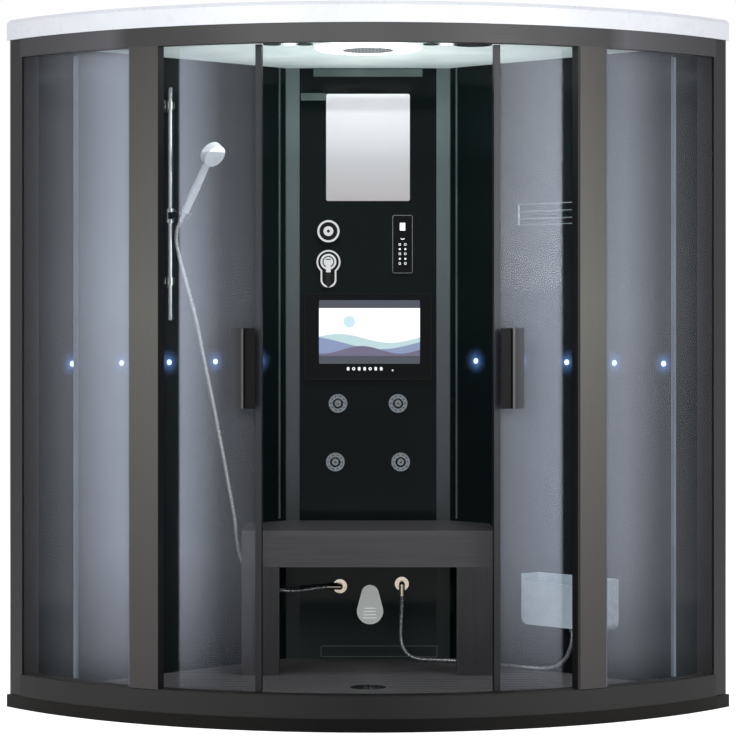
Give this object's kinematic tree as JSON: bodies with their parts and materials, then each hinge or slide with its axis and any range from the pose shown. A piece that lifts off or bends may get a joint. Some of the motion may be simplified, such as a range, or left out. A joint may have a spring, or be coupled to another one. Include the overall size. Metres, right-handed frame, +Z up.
{
  "type": "hydromassage shower cabin",
  "caption": "Corner shower cabin with curved sliding doors, black glass walls, seat, hand shower, rain shower, body jets, steam outlet and media panel on its column.",
  "frame": {"origin": "on the floor, at the centre of the plan's box", "axes": "+Z up, the curved front faces -Y, the walls' corner is at +Y"},
  "size_m": [2.2628, 1.5742, 2.15],
  "materials": {
    "tray": "satin black moulded acrylic",
    "feet": "matte",
    "deck": "dark slatted floor, satin",
    "chrome": "polished",
    "frame_dark": "dark bronze anodised, satin",
    "roof_white": "white gloss",
    "ceiling": "pale teal satin",
    "black_glass": "black back-painted glass, high gloss",
    "post_grey": "satin dark anodised",
    "grey_glass": "clear grey tinted safety glass",
    "mirror": "mirror",
    "panel_black": "gloss black touch panel",
    "screen": null,
    "nozzle": "dull chrome",
    "steam_pale": "pale satin plastic",
    "lamp": "opal diffuser",
    "spot": "lit clear lens",
    "grille": "dark grille",
    "seat": "dark acrylic, satin gloss",
    "leg": "dark grey satin",
    "hose": "spiral-wound metal hose",
    "basin": "white translucent plastic",
    "generator": "brushed steel case",
    "brass": "brass and copper",
    "door_glass": "clear grey tinted safety glass, curved",
    "edge_profile": "satin",
    "handle": "satin",
    "hanger": "brushed",
    "roller": "nylon"
  },
  "bodies": {
    "cabin": {"shower_tray": "tray", "tray_feet": "feet", "floor_deck": "deck", "drain": "chrome", "threshold_rail": "frame_dark", "header_rail": "frame_dark", "roof_shell": "roof_white", "ceiling_panel": "ceiling", "wall_left": "black_glass", "wall_right": "black_glass", "wall_posts": "post_grey", "front_posts": "frame_dark", "fixed_glass": "grey_glass", "column_panel": "black_glass", "mirror_plate": "mirror", "keypad": "panel_black", "media_bezel": "panel_black", "media_screen": "screen", "valve_plates": "chrome", "jet_bodies": "chrome", "steam_outlet": "steam_pale", "hose_elbows": "chrome", "ceiling_lamp": "lamp", "rain_shower": "chrome", "light_spots": "spot", "speakers": "grille", "fan_housing": "grille", "seat_top": "seat", "seat_legs": "leg", "slide_bar": "chrome", "shower_hose": "hose", "foot_hose": "hose", "shelf_rack": "chrome", "wall_basin": "basin", "steam_generator": "generator", "supply_pipes": "brass", "fasteners": "chrome"},
    "door_left": {"door_left_glass": "door_glass", "door_left_edge": "edge_profile", "door_left_handle": "handle", "door_left_hangers": "hanger"},
    "door_left_roller_1": {"door_left_roller_1": "roller"},
    "door_left_roller_2": {"door_left_roller_2": "roller"},
    "door_right": {"door_right_glass": "door_glass", "door_right_edge": "edge_profile", "door_right_handle": "handle", "door_right_hangers": "hanger"},
    "door_right_roller_1": {"door_right_roller_1": "roller"},
    "door_right_roller_2": {"door_right_roller_2": "roller"},
    "mixer_cap": {"mixer_cap": "panel_black"},
    "mixer_lever": {"mixer_lever": "chrome"},
    "diverter": {"diverter_knob": "panel_black"},
    "jet_nozzle_1": {"jet_nozzle_1": "nozzle"},
    "jet_nozzle_2": {"jet_nozzle_2": "nozzle"},
    "jet_nozzle_3": {"jet_nozzle_3": "nozzle"},
    "jet_nozzle_4": {"jet_nozzle_4": "nozzle"},
    "fan_rotor": {"fan_rotor": "grille"},
    "slider": {"slider": "chrome"},
    "hand_shower": {"handset_holder": "nozzle", "handset": "chrome"}
  },
  "joints": [
    {"name": "door_left_slide", "type": "hinge", "parent": "cabin", "child": "door_left", "pos_m": [0, 0.66277, 0], "axis": [0, 0, -1], "range_deg": [-12.83, 8.28]},
    {"name": "door_left_roller_1_spin", "type": "hinge", "parent": "door_left", "child": "door_left_roller_1", "pos_m": [-0.39195, -0.67082, 2.0563], "axis": [-0.282, -0.9594, 0], "range_deg": [-1900, 1900]},
    {"name": "door_left_roller_2_spin", "type": "hinge", "parent": "door_left", "child": "door_left_roller_2", "pos_m": [-0.81925, -0.46014, 2.0563], "axis": [-0.5894, -0.8078, 0], "range_deg": [-1900, 1900]},
    {"name": "door_right_slide", "type": "hinge", "parent": "cabin", "child": "door_right", "pos_m": [0, 0.66277, 0], "axis": [0, 0, 1], "range_deg": [-15.29, 5.81]},
    {"name": "door_right_roller_1_spin", "type": "hinge", "parent": "door_right", "child": "door_right_roller_1", "pos_m": [0.44887, -0.65275, 2.0563], "axis": [0.3229, -0.9464, 0], "range_deg": [-1900, 1900]},
    {"name": "door_right_roller_2_spin", "type": "hinge", "parent": "door_right", "child": "door_right_roller_2", "pos_m": [0.86673, -0.42391, 2.0563], "axis": [0.6235, -0.7818, 0], "range_deg": [-1900, 1900]},
    {"name": "mixer_turn", "type": "hinge", "parent": "cabin", "child": "mixer_cap", "pos_m": [-0.1355, 0.57329, 1.409], "axis": [0, -1, 0], "range_deg": [-45, 45]},
    {"name": "mixer_lift", "type": "hinge", "parent": "mixer_cap", "child": "mixer_lever", "pos_m": [-0.1355, 0.54329, 1.409], "axis": [-1, 0, 0], "range_deg": [0, 20]},
    {"name": "diverter_turn", "type": "hinge", "parent": "cabin", "child": "diverter", "pos_m": [-0.1355, 0.57329, 1.514], "axis": [0, -1, 0], "range_deg": [-60, 60]},
    {"name": "jet_1_tilt", "type": "hinge", "parent": "cabin", "child": "jet_nozzle_1", "pos_m": [-0.103, 0.56729, 0.924], "axis": [1, 0, 0], "range_deg": [-12, 12]},
    {"name": "jet_2_tilt", "type": "hinge", "parent": "cabin", "child": "jet_nozzle_2", "pos_m": [0.103, 0.56729, 0.924], "axis": [1, 0, 0], "range_deg": [-12, 12]},
    {"name": "jet_3_tilt", "type": "hinge", "parent": "cabin", "child": "jet_nozzle_3", "pos_m": [-0.112, 0.56729, 0.723], "axis": [1, 0, 0], "range_deg": [-12, 12]},
    {"name": "jet_4_tilt", "type": "hinge", "parent": "cabin", "child": "jet_nozzle_4", "pos_m": [0.112, 0.56729, 0.723], "axis": [1, 0, 0], "range_deg": [-12, 12]},
    {"name": "fan_spin", "type": "hinge", "parent": "cabin", "child": "fan_rotor", "pos_m": [0.328, -0.26723, 2.092], "axis": [0, 0, 1], "continuous": true},
    {"name": "slider_height", "type": "slide", "parent": "cabin", "child": "slider", "axis": [0, 0, 1], "range_m": [-0.178, 0.235], "deforming": ["shower_hose"]},
    {"name": "hand_shower_tilt", "type": "hinge", "parent": "slider", "child": "hand_shower", "pos_m": [-0.60104, 0.09527, 1.551], "axis": [-0.7071, -0.7071, 0], "range_deg": [-15, 15]}
  ],
  "couplings": [
    {"joint": "door_left_roller_1_spin", "follows": "door_left_slide", "ratio": 116.12},
    {"joint": "door_left_roller_2_spin", "follows": "door_left_slide", "ratio": 116.12},
    {"joint": "door_right_roller_1_spin", "follows": "door_right_slide", "ratio": -116.12},
    {"joint": "door_right_roller_2_spin", "follows": "door_right_slide", "ratio": -116.12}
  ]
}
